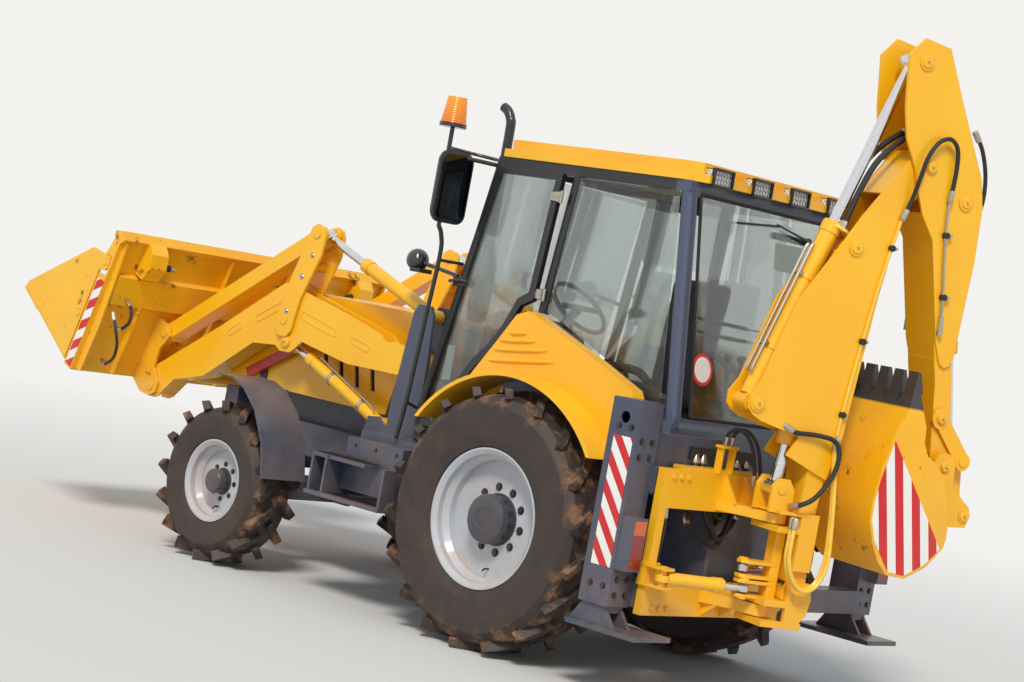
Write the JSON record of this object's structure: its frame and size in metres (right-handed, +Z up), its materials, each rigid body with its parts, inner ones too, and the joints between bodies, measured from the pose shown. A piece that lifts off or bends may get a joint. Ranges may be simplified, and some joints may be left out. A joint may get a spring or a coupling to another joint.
{
  "type": "backhoe loader",
  "caption": "Backhoe loader: cab, front loader with a clam bucket on parallel arms, side-shift backhoe folded behind, stabiliser legs and large lugged rear tyres.",
  "frame": {"origin": "centre of the bounding box's base, on the ground under the machine in its stored pose", "axes": "+X forward along the machine, +Y to its left side, +Z up"},
  "size_m": [6.261, 2.34, 3.56],
  "materials": {
    "tyre": "matt rubber",
    "rim": "satin silver",
    "glass": "tinted",
    "slate_paint": "satin dark blue-grey",
    "black_paint": "satin black",
    "cab_trim": "matt",
    "beacon": "clear amber",
    "lamp": "clear lens",
    "red_paint": "satin red",
    "chrome": "polished",
    "yellow_paint": "semi-gloss amber yellow"
  },
  "bodies": {
    "chassis": {"main_frame": "slate_paint", "rear_frame": "slate_paint", "front_axle": "slate_paint", "rear_axle": "slate_paint", "engine": "slate_paint", "cab_frame": "black_paint", "cab_roof": "yellow_paint", "cab_glass": "glass", "cab_console": "cab_trim", "seat": "cab_trim", "rear_fenders": "yellow_paint", "side_tanks": "slate_paint", "exhaust": "black_paint", "beacon": "beacon", "mirrors": "black_paint", "lamps": "lamp"},
    "rear_wheel_left": {"rear_tyre_left": "tyre", "rear_rim_left": "rim"},
    "rear_wheel_right": {"rear_tyre_right": "tyre", "rear_rim_right": "rim"},
    "front_wheel_left": {"front_tyre_left": "tyre", "front_rim_left": "rim"},
    "front_wheel_right": {"front_tyre_right": "tyre", "front_rim_right": "rim"},
    "steered_hub_left": {"knuckle_left": "slate_paint"},
    "steered_hub_right": {"knuckle_right": "slate_paint"},
    "door_left": {"door_left": "black_paint", "door_glass_left": "glass"},
    "door_right": {"door_right": "black_paint", "door_glass_right": "glass"},
    "bonnet": {"bonnet": "yellow_paint"},
    "loader_arms": {"loader_arms": "yellow_paint", "safety_strut": "red_paint"},
    "loader_bucket": {"loader_bucket": "yellow_paint"},
    "clam_jaw": {"clam_jaw": "yellow_paint"},
    "lift_barrels": {"lift_barrels": "yellow_paint"},
    "lift_rods": {"lift_rods": "chrome"},
    "tilt_levers": {"tilt_levers": "yellow_paint"},
    "tilt_links": {"tilt_links": "yellow_paint"},
    "tilt_barrels": {"tilt_barrels": "yellow_paint"},
    "tilt_rods": {"tilt_rods": "chrome"},
    "stabiliser_left": {"stabiliser_left": "slate_paint"},
    "stabiliser_right": {"stabiliser_right": "slate_paint"},
    "carriage": {"carriage": "yellow_paint"},
    "swing_post": {"swing_post": "yellow_paint"},
    "swing_barrel_lower": {"swing_barrel_lower": "yellow_paint"},
    "swing_rod_lower": {"swing_rod_lower": "chrome"},
    "swing_barrel_upper": {"swing_barrel_upper": "yellow_paint"},
    "swing_rod_upper": {"swing_rod_upper": "chrome"},
    "boom": {"boom": "yellow_paint"},
    "boom_barrel": {"boom_barrel": "yellow_paint"},
    "boom_rod": {"boom_rod": "chrome"},
    "dipper": {"dipper": "yellow_paint"},
    "dipper_barrel": {"dipper_barrel": "yellow_paint"},
    "dipper_rod": {"dipper_rod": "chrome"},
    "bucket_barrel": {"bucket_barrel": "yellow_paint"},
    "bucket_rod": {"bucket_rod": "chrome"},
    "rocker": {"rocker": "yellow_paint"},
    "hoe_link": {"hoe_link": "yellow_paint"},
    "hoe_bucket": {"hoe_bucket": "yellow_paint"}
  },
  "joints": [
    {"name": "rear_wheel_left_spin", "type": "hinge", "parent": "chassis", "child": "rear_wheel_left", "pos_m": [-1.165, 0.885, 0.705], "axis": [0, 1, 0], "continuous": true},
    {"name": "rear_wheel_right_spin", "type": "hinge", "parent": "chassis", "child": "rear_wheel_right", "pos_m": [-1.165, -0.885, 0.705], "axis": [0, 1, 0], "continuous": true},
    {"name": "steer_left", "type": "hinge", "parent": "chassis", "child": "steered_hub_left", "pos_m": [1.075, 0.76, 0.485], "axis": [0, 0, 1], "range_deg": [-35, 35]},
    {"name": "steer_right", "type": "hinge", "parent": "chassis", "child": "steered_hub_right", "pos_m": [1.075, -0.76, 0.485], "axis": [0, 0, 1], "range_deg": [-35, 35]},
    {"name": "front_wheel_left_spin", "type": "hinge", "parent": "steered_hub_left", "child": "front_wheel_left", "pos_m": [1.075, 0.93, 0.485], "axis": [0, 1, 0], "continuous": true},
    {"name": "front_wheel_right_spin", "type": "hinge", "parent": "steered_hub_right", "child": "front_wheel_right", "pos_m": [1.075, -0.93, 0.485], "axis": [0, 1, 0], "continuous": true},
    {"name": "door_left_hinge", "type": "hinge", "parent": "chassis", "child": "door_left", "pos_m": [-1.035, 0.76, 1.5], "axis": [0, 0, 1], "range_deg": [0, 95]},
    {"name": "door_right_hinge", "type": "hinge", "parent": "chassis", "child": "door_right", "pos_m": [-1.035, -0.76, 1.5], "axis": [0, 0, -1], "range_deg": [0, 95]},
    {"name": "bonnet_hinge", "type": "hinge", "parent": "chassis", "child": "bonnet", "pos_m": [0.265, 0, 1.64], "axis": [0, 1, 0], "range_deg": [-50, 0]},
    {"name": "loader_lift", "type": "hinge", "parent": "chassis", "child": "loader_arms", "pos_m": [-0.025, 0, 1.41], "axis": [0, -1, 0], "range_deg": [-16, 70]},
    {"name": "bucket_tilt", "type": "hinge", "parent": "loader_arms", "child": "loader_bucket", "pos_m": [2.305, 0, 0.9], "axis": [0, 1, 0], "range_deg": [-8, 90]},
    {"name": "clam_open", "type": "hinge", "parent": "loader_bucket", "child": "clam_jaw", "pos_m": [2.335, 0, 1.64], "axis": [0, -1, 0], "range_deg": [0, 60]},
    {"name": "lift_barrels_swing", "type": "hinge", "parent": "chassis", "child": "lift_barrels", "pos_m": [0.225, 0, 1.01], "axis": [0, -1, 0], "range_deg": [-15, 64]},
    {"name": "lift_rods_slide", "type": "slide", "parent": "lift_barrels", "child": "lift_rods", "axis": [0.9263, 0, 0.3768], "range_m": [-0.1207, 0.5212]},
    {"name": "tilt_barrels_swing", "type": "hinge", "parent": "chassis", "child": "tilt_barrels", "pos_m": [-0.055, 0, 1.69], "axis": [0, -1, 0], "range_deg": [-19.5, 83.5]},
    {"name": "tilt_rods_slide", "type": "slide", "parent": "tilt_barrels", "child": "tilt_rods", "axis": [0.943, 0, 0.3328], "range_m": [-0.0488, 0.5282]},
    {"name": "tilt_levers_swing", "type": "hinge", "parent": "loader_arms", "child": "tilt_levers", "pos_m": [1.135, 0, 1.5], "axis": [0, 1, 0], "range_deg": [-6, 61]},
    {"name": "tilt_links_swing", "type": "hinge", "parent": "tilt_levers", "child": "tilt_links", "pos_m": [0.965, 0, 2.05], "axis": [0, 1, 0], "range_deg": [-52, 5]},
    {"name": "stabiliser_left_slide", "type": "slide", "parent": "chassis", "child": "stabiliser_left", "axis": [0, 0, 1], "range_m": [-0.45, 0]},
    {"name": "stabiliser_right_slide", "type": "slide", "parent": "chassis", "child": "stabiliser_right", "axis": [0, 0, 1], "range_m": [-0.45, 0]},
    {"name": "side_shift", "type": "slide", "parent": "chassis", "child": "carriage", "axis": [0, 1, 0], "range_m": [-0.84, 0.03]},
    {"name": "swing", "type": "hinge", "parent": "carriage", "child": "swing_post", "pos_m": [-2.565, 0.42, 0.8], "axis": [0, 0, 1], "range_deg": [-159, 17]},
    {"name": "swing_barrel_lower_turn", "type": "hinge", "parent": "carriage", "child": "swing_barrel_lower", "pos_m": [-2.365, 0.985, 0.65], "axis": [0, 0, 1], "range_deg": [-2.12, 15.61]},
    {"name": "swing_rod_lower_slide", "type": "slide", "parent": "swing_barrel_lower", "child": "swing_rod_lower", "axis": [-0.3718, -0.9283, 0], "range_m": [-0.0244, 0.2118]},
    {"name": "swing_barrel_upper_turn", "type": "hinge", "parent": "carriage", "child": "swing_barrel_upper", "pos_m": [-2.365, -0.145, 0.75], "axis": [0, 0, 1], "range_deg": [-1.18, 6.86]},
    {"name": "swing_rod_upper_slide", "type": "slide", "parent": "swing_barrel_upper", "child": "swing_rod_upper", "axis": [-0.2028, 0.9792, 0], "range_m": [-0.2531, 0.0289]},
    {"name": "boom_lower", "type": "hinge", "parent": "swing_post", "child": "boom", "pos_m": [-2.61058, 0.28763, 0.64], "axis": [0.9455, -0.3256, 0], "range_deg": [0, 120]},
    {"name": "boom_barrel_swing", "type": "hinge", "parent": "boom", "child": "boom_barrel", "pos_m": [-2.60407, 0.30654, 2.45], "axis": [0.9455, -0.3256, 0], "range_deg": [0, 4]},
    {"name": "boom_rod_slide", "type": "slide", "parent": "boom_barrel", "child": "boom_rod", "axis": [0.0407, 0.1182, -0.9922], "range_m": [-0.002, 0.6722]},
    {"name": "dipper_out", "type": "hinge", "parent": "boom", "child": "dipper", "pos_m": [-2.71997, -0.03007, 2.927], "axis": [-0.9455, 0.3256, 0], "range_deg": [0, 110]},
    {"name": "dipper_barrel_swing", "type": "hinge", "parent": "boom", "child": "dipper_barrel", "pos_m": [-2.46733, 0.70366, 1.59], "axis": [-0.9455, 0.3256, 0], "range_deg": [0, 7]},
    {"name": "dipper_rod_slide", "type": "slide", "parent": "dipper_barrel", "child": "dipper_rod", "axis": [-0.1045, -0.3036, 0.947], "range_m": [-0.884, 0.002]},
    {"name": "hoe_bucket_open", "type": "hinge", "parent": "dipper", "child": "hoe_bucket", "pos_m": [-2.85313, -0.41678, 1.42], "axis": [-0.9455, 0.3256, 0], "range_deg": [0, 120]},
    {"name": "bucket_barrel_swing", "type": "hinge", "parent": "dipper", "child": "bucket_barrel", "pos_m": [-2.80429, -0.27496, 2.79], "axis": [-0.9455, 0.3256, 0], "range_deg": [0, 4]},
    {"name": "bucket_rod_slide", "type": "slide", "parent": "bucket_barrel", "child": "bucket_rod", "axis": [-0.0686, -0.1992, -0.9776], "range_m": [-0.5051, 0.002]},
    {"name": "rocker_swing", "type": "hinge", "parent": "dipper", "child": "rocker", "pos_m": [-2.83587, -0.36667, 1.664], "axis": [-0.9455, 0.3256, 0], "range_deg": [0, 126]},
    {"name": "hoe_link_swing", "type": "hinge", "parent": "rocker", "child": "hoe_link", "pos_m": [-2.89773, -0.54632, 1.458], "axis": [-0.9455, 0.3256, 0], "range_deg": [-107, 0]}
  ],
  "couplings": [
    {"joint": "steer_right", "follows": "steer_left", "ratio": 1},
    {"joint": "lift_barrels_swing", "follows": "loader_lift", "ratio": 0.9},
    {"joint": "lift_rods_slide", "follows": "loader_lift", "m_per_rad": 0.425},
    {"joint": "tilt_barrels_swing", "follows": "loader_lift", "ratio": 1.18},
    {"joint": "tilt_rods_slide", "follows": "bucket_tilt", "m_per_rad": 0.335},
    {"joint": "tilt_levers_swing", "follows": "bucket_tilt", "ratio": 0.67},
    {"joint": "tilt_links_swing", "follows": "bucket_tilt", "ratio": -0.57},
    {"joint": "swing_barrel_lower_turn", "follows": "swing", "ratio": -0.095},
    {"joint": "swing_rod_lower_slide", "follows": "swing", "m_per_rad": -0.0756},
    {"joint": "swing_barrel_upper_turn", "follows": "swing", "ratio": -0.04},
    {"joint": "swing_rod_upper_slide", "follows": "swing", "m_per_rad": 0.0905},
    {"joint": "boom_barrel_swing", "follows": "boom_lower", "ratio": 0.03},
    {"joint": "boom_rod_slide", "follows": "boom_lower", "m_per_rad": 0.32},
    {"joint": "dipper_barrel_swing", "follows": "dipper_out", "ratio": 0.06},
    {"joint": "dipper_rod_slide", "follows": "dipper_out", "m_per_rad": -0.4594},
    {"joint": "bucket_barrel_swing", "follows": "hoe_bucket_open", "ratio": 0.03},
    {"joint": "bucket_rod_slide", "follows": "hoe_bucket_open", "m_per_rad": -0.2402},
    {"joint": "rocker_swing", "follows": "hoe_bucket_open", "ratio": 1.04},
    {"joint": "hoe_link_swing", "follows": "hoe_bucket_open", "ratio": -0.885}
  ]
}
